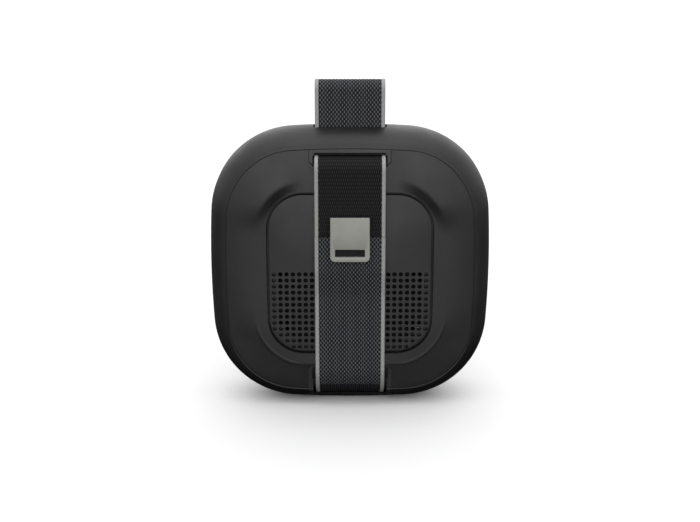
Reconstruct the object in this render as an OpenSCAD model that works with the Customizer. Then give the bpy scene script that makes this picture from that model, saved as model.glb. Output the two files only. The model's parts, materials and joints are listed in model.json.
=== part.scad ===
// Rugged portable speaker: a rounded square body in a soft jacket, with a webbing
// strap down its back, a hook that closes the strap and a hanging loop on top.
// The object stands on the flat under its body, +Z up, with its back towards -Y.

/* [Body] */
// Width of the body
body_w = 98.3; // [97.5:0.1:99.5]
// Depth of the body, from the corner pads on the back to the front of its full rim curve
body_depth = 33.1; // [32.9:0.1:33.3]
// Depth over everything, from the hook's face to the front rim
total_depth = 34.8; // [34.8:0.1:35.2]
// Radius of the rounded rim that runs all round the body
rim_r = 15.4; // [15:0.1:15.8]
// Corner radius of the outline seen from the back
corner_r = 32; // [31:0.1:33]
// Height taken off the bottom rim for the flat that the body stands on
base_cut = 0.5; // [0.4:0.05:0.6]
// Wall of the soft jacket
jacket_wall = 2; // [1.8:0.1:2]
// Wall of the inner housing
housing_wall = 1.8; // [1.6:0.1:2]

/* [Back] */
// Distance from the outline to the seam between the jacket and the back plate
seam_inset = 6.05; // [5.8:0.05:6.2]
// Depth of the dish below the corner pads
dish_depth = 2.2; // [2:0.1:2.4]
// Width and height of the vent panel
panel_w = 56; // [55:0.5:56.5]
// Corner radius of the vent panel
panel_r = 12.3; // [11.5:0.1:13]
// Thickness of the vent panel
panel_t = 1.6; // [1.4:0.1:1.8]
// Diameter of a vent hole
vent_d = 1.5; // [1.2:0.1:1.6]
// Spacing of the vent holes
vent_pitch = 2.18; // [2.16:0.01:2.2]

/* [Strap] */
// Width of the webbing
strap_w = 24.1; // [23.5:0.1:24.3]
// Thickness of the webbing
strap_t = 1.1; // [1:0.05:1.15]
// Width of each edge trim of the webbing
trim_w = 1.3; // [1.1:0.1:1.5]
// Height of the hanging loop's top above the body
loop_rise = 16; // [15:0.5:20]
// Width of the hook tab
hook_w = 13.7; // [12:0.1:15]
// Height of the hook tab
hook_h = 15.6; // [15:0.1:16.2]

/* [Controls] */
// How far a button travels
button_travel = 0.5; // [0.3:0.05:0.6]
// Clearance round each button and round the port flap
button_gap = 0.3; // [0.25:0.05:0.35]

/* [Driver] */
// Outer radius of the driver's basket flange
driver_r = 20; // [19.5:0.1:20]
// Radius of the voice coil former
former_r = 6.8; // [6.7:0.05:6.9]

/* [Hidden] */

$fn = 48;
half = body_w / 2;
centre_z = half - base_cut;

// Levels along the depth, measured from the frame's middle plane towards the back
// The window in the front cuts the last 0.3 mm off the rim's curve
front_z = -total_depth / 2 - 0.3;
back_z = front_z + body_depth;
panel_z = back_z - dish_depth;
panel_back_z = panel_z - panel_t;
hook_face_z = total_depth / 2;
plate_under_z = 9.4;
baffle_back_z = -10.4;
baffle_front_z = -12.9;
grille_z = -16.2;
corner_c = half - corner_r;

// Strap levels and places on the upright plane of the back
tail_z = panel_z + 0.35;
lower_z = tail_z + strap_t + 0.35;
tail_end_y = 8.5;
tail_bend_y = 37.5;
tail_bend_r = 5.25;
lower_end_y = 13.7;
lower_bend_y = -33.5;
lower_bend_r = 14.5;
lower_bend_z = lower_z + strap_t - lower_bend_r;
lower_hinge_angle = 30;
slot_half_w = 12.6;
slot_front_z = -7.2;
slot_back_z = 1.9;
loop_near_z = 0.9;
loop_far_z = -5.7;
loop_hinge_y = half - 0.9;

// Hook
hook_low_y = 5.5;
hook_back_z = lower_z + strap_t + 0.3;
hook_pin_y = hook_low_y + 1;
hook_pin_z = hook_back_z + 0.5;

// Controls on the front side of the rim: the top ones by x, the side ones by height
button_tilt = 46.7;
button_w = 5;
top_button_x = [-16, 0, 16];
side_button_y = [15, 1];
button_lengths = [9, 8, 9];
board_level = -4.4;
pipe_tilt = 64;
flap_y = -16;
flap_len = 13;
flap_z = -6.5;
flap_w = 7;

// Acoustic parts
driver_y = 14;
radiator_y = -22;
radiator_w = 40;
radiator_h = 24;
posts = [[-22, 22], [22, 22], [-25.2, -20], [25.2, -20]];

// ---------- shared shapes ----------

// Turns shapes drawn on the back's upright plane to stand up, with depth towards -Y
module stand() {
    translate([0, 0, centre_z]) rotate([90, 0, 0]) children();
}

// Rounded rectangle, centred
module rounded_rect(w, h, r) {
    square([w - 2 * r, h], center = true);
    square([w, h - 2 * r], center = true);
    for (x = [-1, 1], y = [-1, 1]) {
        translate([x * (w / 2 - r), y * (h / 2 - r)]) circle(r);
    }
}

module rounded_plate(w, h, r, z0, z1) {
    translate([0, 0, z0]) linear_extrude(z1 - z0) rounded_rect(w, h, r);
}

// Slab with the body's outline, inset from it
module slab(inset, z0, z1) {
    rounded_plate(body_w - 2 * inset, body_w - 2 * inset, corner_r - inset, z0, z1);
}

// Half section of the body from its middle out to a reach, with the rim rounded
module rim_section(reach, inset) {
    r = rim_r - inset;
    depth = body_depth - 2 * inset;
    translate([0, front_z + inset]) square([reach - r, depth]);
    translate([reach - r - 1, front_z + rim_r]) square([r + 1, body_depth - 2 * rim_r]);
    for (z = [front_z + rim_r, back_z - rim_r]) {
        translate([reach - r, z]) circle(r);
    }
}

// The whole rounded body, shrunk evenly by inset
module pillow(inset) {
    for (turn = [0 : 90 : 270]) {
        rotate(turn) translate([corner_c, corner_c, 0])
            rotate_extrude(angle = 90) intersection() {
                rim_section(corner_r - inset, inset);
                translate([0, -50]) square([100, 100]);
            }
    }
    for (turn = [0, 90]) {
        rotate(turn) rotate([90, 0, 0]) translate([0, 0, -corner_c]) linear_extrude(2 * corner_c) {
            rim_section(half - inset, inset);
            mirror([1, 0]) rim_section(half - inset, inset);
        }
    }
}

// Everything below the flat that the body stands on
module below_base() {
    translate([-60, -centre_z - 20, -40]) cube([120, 20, 80]);
}

// Block given by its two opposite corners
module block(low, high) {
    translate(low) cube(high - low);
}

// Rounded square that widens towards the back, for the sloping wall of the dish
module tapered_plate(w0, w1, r0, z0, z1) {
    c = w0 / 2 - r0;
    for (x = [-1, 1], y = [-1, 1]) {
        translate([x * c, y * c, z0]) cylinder(h = z1 - z0, r1 = r0, r2 = w1 / 2 - c);
    }
    for (turn = [0, 90]) {
        rotate(turn) rotate([90, 0, 0]) translate([0, 0, -c]) linear_extrude(2 * c)
            polygon([[-w0 / 2, z0], [w0 / 2, z0], [w1 / 2, z1], [-w1 / 2, z1]]);
    }
}

// A round bar across the strap
module cross_bar(y, z, d, len) {
    translate([-len / 2, y, z]) rotate([0, 90, 0]) cylinder(h = len, d = d);
}

module stadium(len, w, z0, z1) {
    translate([0, 0, z0]) linear_extrude(z1 - z0) {
        square([len - w, w], center = true);
        for (x = [-1, 1]) {
            translate([x * (len - w) / 2, 0]) circle(d = w);
        }
    }
}

// Frame on the rim's surface above the body, tilted forward, with z pointing outwards
module top_frame(x, tilt = button_tilt) {
    translate([x, half - rim_r, front_z + rim_r])
        rotate([-90 - tilt, 0, 0]) translate([0, 0, rim_r]) children();
}

// The same on the rim's left side, with its x running up the body
module side_frame(y) {
    translate([-half + rim_r, y, front_z + rim_r])
        rotate([0, -90 - button_tilt, 0]) translate([0, 0, rim_r]) rotate(90) children();
}

// ---------- shell ----------

module top_slot_cut(grow = 0) {
    block([-slot_half_w - grow, 36, slot_front_z - grow],
          [slot_half_w + grow, half + 5, slot_back_z + grow]);
}

// Window for the upper slot's bezel, with its lower corners cut at 45 degrees
module rear_top_cut(grow = 0) {
    w = 13.9 + grow;
    low = 37.1 - grow;
    translate([0, 0, 5]) linear_extrude(15)
        polygon([[-w, 44], [-w, low + 1.5], [-w + 1.5, low], [w - 1.5, low], [w, low + 1.5], [w, 44]]);
}

// Channel in which the strap runs over the bottom rim
module bottom_channel_cut(grow = 0) {
    w = 14.2 + grow;
    block([-w, -half - 1, 0.4 - grow], [w, -36 + grow, 20]);
    block([-w + 1.5, -36, 0.4 - grow], [w - 1.5, -34.6 + grow, 20]);
}

module key_slot(len) {
    stadium(len + 2 * button_gap, button_w + 2 * button_gap, -4.2, 4);
}

module button_holes() {
    for (i = [0 : 2]) {
        top_frame(top_button_x[i]) key_slot(button_lengths[i]);
    }
    for (y = side_button_y) {
        side_frame(y) key_slot(button_lengths[1]);
    }
}

module flap_hole(grow) {
    block([-half - 2, flap_y - flap_len / 2 - grow, flap_z - flap_w / 2 - grow],
          [-half + 8, flap_y + flap_len / 2 + grow, flap_z + flap_w / 2 + grow]);
}

module pipes(d, low, high) {
    for (i = [-2 : 2]) {
        top_frame(i * 3, pipe_tilt) translate([0, 0, low]) cylinder(h = high - low, d = d);
    }
}

module silicone_jacket() {
    color("#2b2c2f") stand() difference() {
        pillow(0);
        pillow(jacket_wall);
        slab(seam_inset, 5, 20);
        slab(12.2, front_z - 1, -12);
        top_slot_cut();
        bottom_channel_cut();
        button_holes();
        flap_hole(button_gap);
        pipes(1.3, -3, 2);
        below_base();
    }
}

module inner_housing() {
    color("#1c1d1f") stand() difference() {
        pillow(jacket_wall + 0.1);
        pillow(jacket_wall + 0.1 + housing_wall);
        slab(6, plate_under_z - 0.05, 20);
        slab(7.5, plate_under_z - 0.9, 20);
        slab(9.5, front_z - 1, -11.5);
        top_slot_cut(1.6);
        rear_top_cut(0.4);
        bottom_channel_cut(0.6);
        top_frame(0) block([-23, -3.2, -6.5], [23, 3.2, 4]);
        side_frame(8) block([-13, -3.2, -6.5], [13, 3.2, 4]);
        flap_hole(0.6);
    }
}

// Shallow channel with sloping sides that the strap lies in
module strap_channel_cut() {
    rotate([90, 0, 0]) translate([0, 0, -60]) linear_extrude(120)
        polygon([[-12.6, panel_z + 0.05], [12.6, panel_z + 0.05], [17, 15.6], [-17, 15.6]]);
}

// Room over the rear radiator's plate for its travel
module radiator_pocket() {
    translate([0, radiator_y, 0])
        stadium(radiator_w - 6.4, radiator_h - 6.4, plate_under_z - 1, plate_under_z + 1.6);
}

module rear_plate() {
    color("#333437") stand() difference() {
        intersection() {
            pillow(0);
            slab(seam_inset + 0.12, plate_under_z, 20);
        }
        tapered_plate(57.2, 66, 12.9, panel_z, back_z + 0.5);
        for (turn = [0, 90]) {
            rotate(turn) translate([0, 0, panel_z + 110.15]) rotate([0, 90, 0])
                cylinder(h = 120, r = 110, center = true, $fn = 180);
        }
        strap_channel_cut();
        rounded_plate(panel_w + 0.6, panel_w + 0.6, panel_r + 0.3, panel_back_z - 0.1, 20);
        difference() {
            rounded_plate(53, 53, 11, plate_under_z - 1, 14);
            for (p = posts) {
                translate([p[0], p[1], 0]) cylinder(h = 20, d = 8);
            }
        }
        radiator_pocket();
        rear_top_cut();
        bottom_channel_cut(0.1);
        for (p = posts) {
            translate([p[0], p[1], plate_under_z - 1]) cylinder(h = 4, d = 2.4);
            translate([p[0], p[1], panel_back_z - 1.5]) cylinder(h = 4, d = 4.2);
        }
    }
}

// ---------- back vent ----------

// The lower corners of the field of vent holes are stepped off
function in_vent_field(col, row) = abs(col) <= 12 - max(0, row - 9);

module vent_panel() {
    color("#26272a") stand() translate([0, 0, panel_back_z]) linear_extrude(panel_t) difference() {
        rounded_rect(panel_w, panel_w, panel_r);
        for (row = [0 : 12], col = [-12 : 12]) {
            if (in_vent_field(col, row)) {
                translate([col, -row] * vent_pitch) circle(d = vent_d, $fn = 20);
            }
        }
    }
}

module vent_mesh() {
    color("#101113") stand() difference() {
        translate([0, -12.35, 0]) rounded_plate(52.4, 27.7, 10.6, panel_back_z - 0.5, panel_back_z - 0.15);
        for (i = [2, 3]) {
            translate([posts[i][0], posts[i][1], 5]) cylinder(h = 10, d = 8.3);
        }
    }
}

module rounded_ring(outer_inset, inner_inset, z0, z1) {
    difference() {
        slab(outer_inset, z0, z1);
        slab(inner_inset, z0 - 1, z1 + 1);
    }
}

module rear_gasket() {
    color("#18191a") stand() difference() {
        rounded_ring(7.6, 9.2, 8.6, plate_under_z - 0.02);
        rear_top_cut(1);
        bottom_channel_cut(1);
    }
}

module baffle_gasket() {
    color("#18191a") stand() rounded_ring(10, 11.6, baffle_front_z - 0.9, baffle_front_z - 0.02);
}

// ---------- front ----------

module radiator_hole(grow, z0, z1) {
    translate([0, radiator_y, 0]) stadium(radiator_w + 2 * grow, radiator_h + 2 * grow, z0, z1);
}

module front_baffle() {
    color("#202124") stand() difference() {
        union() {
            slab(9.7, baffle_front_z, baffle_back_z);
            for (p = posts) {
                translate([p[0], p[1], baffle_back_z - 1])
                    cylinder(h = plate_under_z - baffle_back_z + 0.98, d = 5.4);
            }
        }
        translate([0, driver_y, -20]) cylinder(h = 20, r = driver_r - 2.4);
        radiator_hole(0, -20, 0);
        block([-33, 37.6, -20], [33, 60, 0]);
        for (p = posts) {
            translate([p[0], p[1], plate_under_z - 7]) cylinder(h = 8, d = 1.7);
        }
    }
}

grille_w = 73.4;
grille_r = 19.5;
grille_pitch = 3.4;
grille_n = floor((grille_w / 2 - 3) / grille_pitch);

// True where a grille hole keeps clear of the rounded corners
function in_grille(i, j) =
    pow(max(0, abs(i) * grille_pitch - grille_w / 2 + grille_r), 2)
    + pow(max(0, abs(j) * grille_pitch - grille_w / 2 + grille_r), 2) < pow(grille_r - 3, 2);

module front_grille() {
    color("#2f3033") stand() {
        translate([0, 0, grille_z]) linear_extrude(1) difference() {
            rounded_rect(grille_w, grille_w, grille_r);
            for (i = [-grille_n : grille_n], j = [-grille_n : grille_n]) {
                if (in_grille(i, j)) {
                    translate([i, j] * grille_pitch) circle(d = 2.1, $fn = 20);
                }
            }
        }
        difference() {
            union() {
                rounded_plate(grille_w, grille_w, grille_r, grille_z + 0.9, -13.9);
                rounded_plate(77, 77, 21.3, -14.4, -13.9);
            }
            rounded_plate(71, 71, 18.3, grille_z - 1, -12);
        }
    }
}

module front_mesh() {
    color("#0e0f10") stand() rounded_plate(70.6, 70.6, 18, grille_z + 1.05, grille_z + 1.35);
}

// ---------- driver and radiators ----------

// Parts turned round the driver's axis; heights run from the front of the baffle backwards
module driver_place() {
    stand() translate([0, driver_y, 0]) children();
}

module driver_basket() {
    color("#3a3b3e") driver_place() difference() {
        rotate_extrude() polygon([
            [17.7, -9.9], [driver_r, -9.9], [driver_r, -9], [18.6, -9], [15.6, -3.2],
            [15.2, -1.9], [7.7, -1.9], [7.7, -2.9], [14.2, -2.9], [17.2, -9], [17.7, -9]]);
        for (turn = [45 : 90 : 315]) {
            rotate(turn) translate([16, 0, -6.2]) cube([6, 12, 4.4], center = true);
        }
    }
}

module driver_yoke() {
    color("#8e9094") driver_place() rotate_extrude()
        polygon([[0, 6.6], [12.6, 6.6], [12.6, 4.8], [6, 4.8], [6, -2.6], [0, -2.6]]);
}

module driver_magnet() {
    color("#55575b") driver_place() rotate_extrude()
        polygon([[8.6, 0.22], [13.6, 0.22], [13.6, 4.78], [8.6, 4.78]]);
}

module driver_top_plate() {
    color("#9a9ca0") driver_place() rotate_extrude()
        polygon([[7.6, -1.85], [13.2, -1.85], [13.2, 0.2], [7.6, 0.2]]);
}

module voice_coil() {
    color("#b06a34") driver_place() rotate_extrude() polygon([
        [former_r - 0.15, -6.3], [former_r, -6.3], [former_r, -1.8], [former_r + 0.35, -1.8],
        [former_r + 0.35, 1.4], [former_r - 0.15, 1.4]]);
}

module driver_spider() {
    color("#c9a04a") driver_place() rotate_extrude() polygon([
        [8.2, -3.5], [9.6, -4], [11.2, -3.5], [12.8, -4], [14.1, -3.6],
        [14.1, -3.3], [12.8, -3.7], [11.2, -3.2], [9.6, -3.7], [8.2, -3.2]]);
}

module driver_cone() {
    color("#1b1b1d") driver_place() rotate_extrude()
        polygon([[6.95, -6], [6.95, -6.5], [7.6, -6.6], [14.2, -9.6], [14.6, -9.6],
                 [14.6, -9.1], [7.9, -6]]);
}

module driver_dust_cap() {
    color("#161618") driver_place() intersection() {
        difference() {
            translate([0, 0, -0.6]) sphere(9.2);
            translate([0, 0, -0.6]) sphere(8.9);
        }
        translate([0, 0, -12]) cylinder(h = 6.1, r = 6.9);
    }
}

module driver_surround() {
    color("#141416") driver_place() rotate_extrude() difference() {
        union() {
            translate([16.2, -9.9]) circle(1.3);
            translate([17.2, -10.25]) square([1.2, 0.3]);
        }
        translate([16.2, -9.9]) circle(1);
        translate([14, -9.9]) square([4.5, 3]);
    }
}

// Racetrack ring between two sizes
module racetrack_ring(outer, inner, z0, z1) {
    translate([0, radiator_y, 0]) difference() {
        stadium(radiator_w + 2 * outer, radiator_h + 2 * outer, z0, z1);
        stadium(radiator_w + 2 * inner, radiator_h + 2 * inner, z0 - 1, z1 + 1);
    }
}

module radiator_carrier() {
    color("#232427") stand() racetrack_ring(1.6, -0.1, 7.2, plate_under_z - 0.05);
}

module rear_radiator_surround() {
    color("#141416") stand() racetrack_ring(-0.15, -3.4, 7.6, 8);
}

module rear_radiator_plate() {
    color("#4a4b4f") stand() translate([0, radiator_y, 0])
        stadium(radiator_w - 7.4, radiator_h - 7.4, 6.2, 8.2);
}

module front_radiator_surround() {
    color("#141416") stand() racetrack_ring(-0.15, -3.4, -11.7, -11.3);
}

module front_radiator_plate() {
    color("#4a4b4f") stand() translate([0, radiator_y, 0])
        stadium(radiator_w - 7.4, radiator_h - 7.4, -11.9, -9.9);
}

// ---------- electrics ----------

module battery_pack() {
    color("#3d5f8c") stand() translate([0, radiator_y, 0]) rounded_plate(40, 22, 2, -4.4, 1.8);
}

// Open tray with two ears that slide over the lower posts
module battery_tray() {
    color("#26282b") stand() difference() {
        union() {
            translate([0, radiator_y, 0]) rounded_plate(43, 25, 3, -5.4, 2.6);
            for (i = [2, 3]) {
                translate([posts[i][0], posts[i][1], -2]) cylinder(h = 3, d = 8.4);
            }
        }
        translate([0, radiator_y, 0]) rounded_plate(40.2, 22.2, 2, -4.5, 5);
        translate([0, radiator_y, 0]) rounded_plate(30, 12, 4, -8, 5);
        for (i = [2, 3]) {
            translate([posts[i][0], posts[i][1], -9]) cylinder(h = 20, d = 5.5);
        }
    }
}

module main_board() {
    color("#1f5b3a") stand() difference() {
        translate([0, 17, 0]) rounded_plate(68, 30, 3, 7.4, 8.4);
        for (p = posts) {
            translate([p[0], p[1], 0]) cylinder(h = 20, d = 6);
        }
    }
}

module board_chips() {
    color("#17181a") stand() {
        block([-32, 22, 5.9], [-26.5, 30, 7.38]);
        block([-32, 6, 6.4], [-20, 14, 7.38]);
        block([18, 5, 6.2], [26, 13, 7.38]);
        block([27, 18, 5.6], [32, 24, 7.38]);
        translate([30, 10, 3.4]) cylinder(h = 3.98, d = 4);
        translate([-17.5, 27, 4.4]) cylinder(h = 2.98, d = 4);
    }
}

module charge_board() {
    color("#1f5b3a") stand() block([-43.6, flap_y - 7, flap_z + 1.75], [-31, flap_y + 7, flap_z + 2.55]);
}

module charging_socket() {
    color("#a9abae") stand() translate([-half + 10, flap_y, flap_z]) difference() {
        block([-4.6, -4.6, -1.7], [4, 4.6, 1.7]);
        block([-5, -4.2, -1.3], [3.4, 4.2, 1.3]);
    }
}

// Soft flap in the side wall, with a plug behind it; it turns at its lower end
module port_flap() {
    color("#2e2f32") stand() {
        intersection() {
            difference() {
                pillow(0);
                pillow(jacket_wall);
            }
            block([-half - 1, flap_y - flap_len / 2 + 1, flap_z - flap_w / 2],
                  [-half + 6, flap_y + flap_len / 2 - 0.4, flap_z + flap_w / 2]);
        }
        block([-half + 1.7, flap_y - 3.4, flap_z - 0.9], [-half + 5.1, flap_y + 3.4, flap_z + 0.9]);
    }
}

module button_board() {
    color("#1f5b3a") stand() top_frame(0)
        block([-22, -2.2, board_level - 0.8], [22, 2.2, board_level]);
}

module side_button_board() {
    color("#1f5b3a") stand() side_frame(8)
        block([-12, -1.7, board_level - 0.8], [12, 1.7, board_level]);
}

module dome_switches() {
    color("#c2c4c8") stand() {
        for (x = top_button_x) {
            top_frame(x) translate([0, 0, board_level + 0.02]) cylinder(h = 0.45, d = 3.2);
        }
        for (y = side_button_y) {
            side_frame(y) translate([0, 0, board_level + 0.02]) cylinder(h = 0.45, d = 3.2);
        }
    }
}

module microphone() {
    color("#b5b7ba") stand() top_frame(7.8) translate([0, 0, board_level + 0.02])
        cylinder(h = 0.8, d = 2);
}

// A rubber key: the cap stands proud of the jacket and a stem reaches towards its switch
module key(len) {
    stadium(len, button_w, -2.4, 0.6);
    translate([0, 0, -3.35]) cylinder(h = 1.2, d = 2);
}

module top_key(i) {
    color("#34353a") stand() top_frame(top_button_x[i]) key(button_lengths[i]);
}

module side_key(i) {
    color("#34353a") stand() side_frame(side_button_y[i]) key(button_lengths[1]);
}

module volume_up_button() { top_key(0); }
module play_button() { top_key(1); }
module volume_down_button() { top_key(2); }
module power_button() { side_key(0); }
module pairing_button() { side_key(1); }

module light_pipes() {
    color("#e8e6da") stand() pipes(1.1, -2, 0.05);
}

// ---------- fasteners and strap hardware ----------

module case_screws() {
    color("#8b8d91") stand() for (p = posts) {
        translate([p[0], p[1], panel_back_z - 1.48]) cylinder(h = 1.2, d = 3.8);
        translate([p[0], p[1], plate_under_z - 6]) cylinder(h = 7, d = 1.6);
    }
}

module tail_bar() {
    color("#9c9ea2") stand() cross_bar(40.6, 7, 1.6, 27);
}

module loop_bar() {
    color("#9c9ea2") stand() cross_bar(44, (loop_near_z + loop_far_z) / 2, 2, 27);
}

module bottom_strap_bar() {
    color("#9c9ea2") stand() cross_bar(-43.4, 1.9, 2, 27);
}

module top_slot_bezel() {
    color("#121315") stand() difference() {
        intersection() {
            rear_top_cut(-0.1);
            block([-20, 30, plate_under_z + 0.1], [20, 42.98, panel_z + 0.1]);
        }
        block([-slot_half_w, 38.2, 0], [slot_half_w, 42.85, 30]);
    }
}

// Curved tray that carries the strap over the bottom rim, with a cheek on each side
module bottom_slot_bezel() {
    color("#121315") stand() translate([0, lower_bend_y, lower_bend_z]) difference() {
        intersection() {
            rotate([0, 90, 0]) cylinder(h = 28.2, r = lower_bend_r - 0.4, center = true);
            block([-20, -20, 1], [20, -2.7, 20]);
        }
        rotate([0, 90, 0]) cylinder(h = 30, r = lower_bend_r - 3.2, center = true);
        difference() {
            rotate([0, 90, 0]) cylinder(h = 2 * slot_half_w, r = 20, center = true);
            rotate([0, 90, 0]) cylinder(h = 30, r = lower_bend_r - 2.2, center = true);
        }
    }
}

// ---------- strap ----------

// Runs a 2D outline, drawn with height across and depth up, over the strap's width;
// part picks the woven middle or the two edge trims
module across_strap(part) {
    mid = strap_w / 2 - trim_w - 0.02;
    spans = part == "middle" ? [[-mid, mid]]
          : [[-strap_w / 2, -mid - 0.04], [mid + 0.04, strap_w / 2]];
    for (s = spans) {
        translate([s[0], 0, 0]) rotate([90, 0, 90]) linear_extrude(s[1] - s[0]) children();
    }
}

// Quarter or smaller piece of a bend between two angles, measured from the depth axis
module bend(centre, r, from, to) {
    translate(centre) intersection() {
        difference() {
            circle(r, $fn = 96);
            circle(r - strap_t, $fn = 96);
        }
        polygon([[0, 0], 2 * r * [sin(from), cos(from)],
                 3 * r * [sin((from + to) / 2), cos((from + to) / 2)], 2 * r * [sin(to), cos(to)]]);
    }
}

module tail_outline() {
    translate([tail_end_y, tail_z]) square([tail_bend_y - tail_end_y, strap_t]);
}

module tail_webbing() {
    color("#141518") stand() across_strap("middle") tail_outline();
}

module tail_trims() {
    color("#9b9b96") stand() across_strap("trims") tail_outline();
}

module tail_root() {
    centre = [tail_bend_y, tail_z + strap_t - tail_bend_r];
    color("#141518") stand() across_strap("middle") {
        bend(centre, tail_bend_r, 4, 90);
        translate([centre[0] + tail_bend_r - strap_t, 6]) square([strap_t, centre[1] - 6]);
    }
}

// Bar stitched to the end of the tail, which the hook's nose drops behind
module catch_bar() {
    foot_z = tail_z + strap_t + 0.05;
    color("#77787a") stand() {
        block([-5.2, 15.2, foot_z], [5.2, 16.6, foot_z + 1.4]);
        for (x = [-4.6, 4.6]) {
            block([x - 0.6, 14, foot_z], [x + 0.6, 17.6, foot_z + 0.5]);
        }
    }
}

module lower_outline() {
    translate([lower_bend_y, lower_z]) square([lower_end_y - lower_bend_y, strap_t]);
    bend([lower_bend_y, lower_bend_z], lower_bend_r, -lower_hinge_angle, 0);
}

module lower_webbing() {
    color("#4b4c4d") stand() across_strap("middle") lower_outline();
}

module lower_trims() {
    color("#9b9b96") stand() across_strap("trims") lower_outline();
}

module lower_root() {
    color("#3c3d3e") stand() across_strap("middle")
        bend([lower_bend_y, lower_bend_z], lower_bend_r, -88, -lower_hinge_angle - 1.5);
}

module loop_outline() {
    mid = (loop_near_z + loop_far_z) / 2;
    out_r = (loop_near_z - loop_far_z) / 2;
    top_y = half + loop_rise - out_r;
    for (z = [loop_far_z, loop_near_z - strap_t]) {
        translate([loop_hinge_y, z]) square([top_y - loop_hinge_y, strap_t]);
    }
    intersection() {
        translate([top_y, mid]) difference() {
            circle(out_r);
            circle(out_r - strap_t);
        }
        translate([top_y, mid - 20]) square([40, 40]);
    }
}

module loop_webbing() {
    color("#4b4c4d") stand() across_strap("middle") loop_outline();
}

module loop_trims() {
    color("#9b9b96") stand() across_strap("trims") loop_outline();
}

// The loop's ends inside the slot, joined under the loop's bar
module loop_root() {
    color("#3c3d3e") stand() across_strap("middle") {
        for (z = [loop_far_z, loop_near_z - strap_t]) {
            translate([41.6, z]) square([4.8, strap_t]);
        }
        translate([41.6, loop_far_z]) square([strap_t, loop_near_z - loop_far_z]);
    }
}

// ---------- hook ----------

module hook_tab() {
    nose_y = 16.95;
    color("#8f8f89") stand() difference() {
        union() {
            translate([0, hook_low_y + hook_h / 2, 0])
                rounded_plate(hook_w, hook_h, 1.5, hook_back_z, hook_face_z);
            block([-3.8, nose_y, hook_back_z - 1.5], [3.8, nose_y + 1.3, hook_back_z + 0.5]);
        }
        block([-5.05, hook_low_y + 1.8, 0], [5.05, hook_low_y + 4.4, 30]);
        cross_bar(hook_pin_y, hook_pin_z, 0.7, 12.6);
    }
}

module hook_pin() {
    color("#5c5d5f") stand() cross_bar(hook_pin_y, hook_pin_z, 0.6, 12.4);
}

silicone_jacket();
inner_housing();
rear_plate();
vent_panel();
vent_mesh();
rear_gasket();
baffle_gasket();
front_baffle();
front_grille();
front_mesh();
radiator_carrier();
rear_radiator_surround();
rear_radiator_plate();
front_radiator_surround();
front_radiator_plate();
driver_basket();
driver_yoke();
driver_magnet();
driver_top_plate();
voice_coil();
driver_spider();
driver_cone();
driver_dust_cap();
driver_surround();
battery_pack();
battery_tray();
main_board();
board_chips();
charge_board();
charging_socket();
port_flap();
button_board();
side_button_board();
dome_switches();
microphone();
volume_down_button();
play_button();
volume_up_button();
power_button();
pairing_button();
light_pipes();
case_screws();
tail_bar();
loop_bar();
bottom_strap_bar();
top_slot_bezel();
bottom_slot_bezel();
tail_webbing();
tail_trims();
tail_root();
catch_bar();
lower_webbing();
lower_trims();
lower_root();
loop_webbing();
loop_trims();
loop_root();
hook_tab();
hook_pin();
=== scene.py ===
"""Looks for the strapped speaker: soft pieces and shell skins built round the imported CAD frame.

Shapes are worked out in millimetres in the face frame: x to the right, y up from the body's
centre, z towards the back. place() turns that into the row frame in metres.
"""
import json
import math

import bmesh
import bpy
import numpy as np
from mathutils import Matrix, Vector
from mathutils.geometry import delaunay_2d_cdt


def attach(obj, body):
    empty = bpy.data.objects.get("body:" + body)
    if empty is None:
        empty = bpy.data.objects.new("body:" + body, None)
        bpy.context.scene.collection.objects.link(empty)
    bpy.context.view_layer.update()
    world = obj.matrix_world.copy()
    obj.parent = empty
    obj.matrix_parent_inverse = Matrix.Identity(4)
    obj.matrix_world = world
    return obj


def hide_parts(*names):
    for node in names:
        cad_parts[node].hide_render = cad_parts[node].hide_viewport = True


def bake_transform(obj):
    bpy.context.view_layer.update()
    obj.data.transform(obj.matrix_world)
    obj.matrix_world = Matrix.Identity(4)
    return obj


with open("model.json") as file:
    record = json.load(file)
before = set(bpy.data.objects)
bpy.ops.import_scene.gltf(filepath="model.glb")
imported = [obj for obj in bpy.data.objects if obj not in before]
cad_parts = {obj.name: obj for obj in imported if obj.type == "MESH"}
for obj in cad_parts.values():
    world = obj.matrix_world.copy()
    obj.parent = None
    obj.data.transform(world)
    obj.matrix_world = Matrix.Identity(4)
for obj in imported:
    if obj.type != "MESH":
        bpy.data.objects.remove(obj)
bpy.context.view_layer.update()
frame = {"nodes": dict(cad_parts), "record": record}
NODES = frame["nodes"]

MM = 0.001
CENTRE_Z = 48.65          # height of the body's centre above the floor
HALF = 49.15              # half of the body's width
RIM_R = 15.4              # radius of the rim's section
RIM_EXTRA = 1.6           # how much deeper than wide the rim's back quarter is
RIM_Z = -2.3              # depth of the rim's outermost line
CORNER_R = 30.4           # corner radius of the outline
SIDE_R = 350.0            # the outline's sides bow with this radius
SEAM = 6.05               # inset of the seam round the back plate
WINDOW = 12.2             # inset of the front window
LIFT = 0.42               # extra height of the body's top behind its keys
WALL = 2.0                # jacket wall
PANEL_Z = 13.2            # face of the vent panel
SEAM_Z = 11.2             # depth of the seam
STRAP_HALF = 12.05
STRAP_T = 1.1
TRIM_W = 1.3
BEND = (-33.5, 1.5)       # height and depth of the axis that the strap bends round at the bottom
BEND_R = 13.0

PI = math.pi


# ---------------------------------------------------------------- placing and meshes

def place(x, y, z):
    return Vector((x * MM, -z * MM, (y + CENTRE_Z) * MM))


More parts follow.
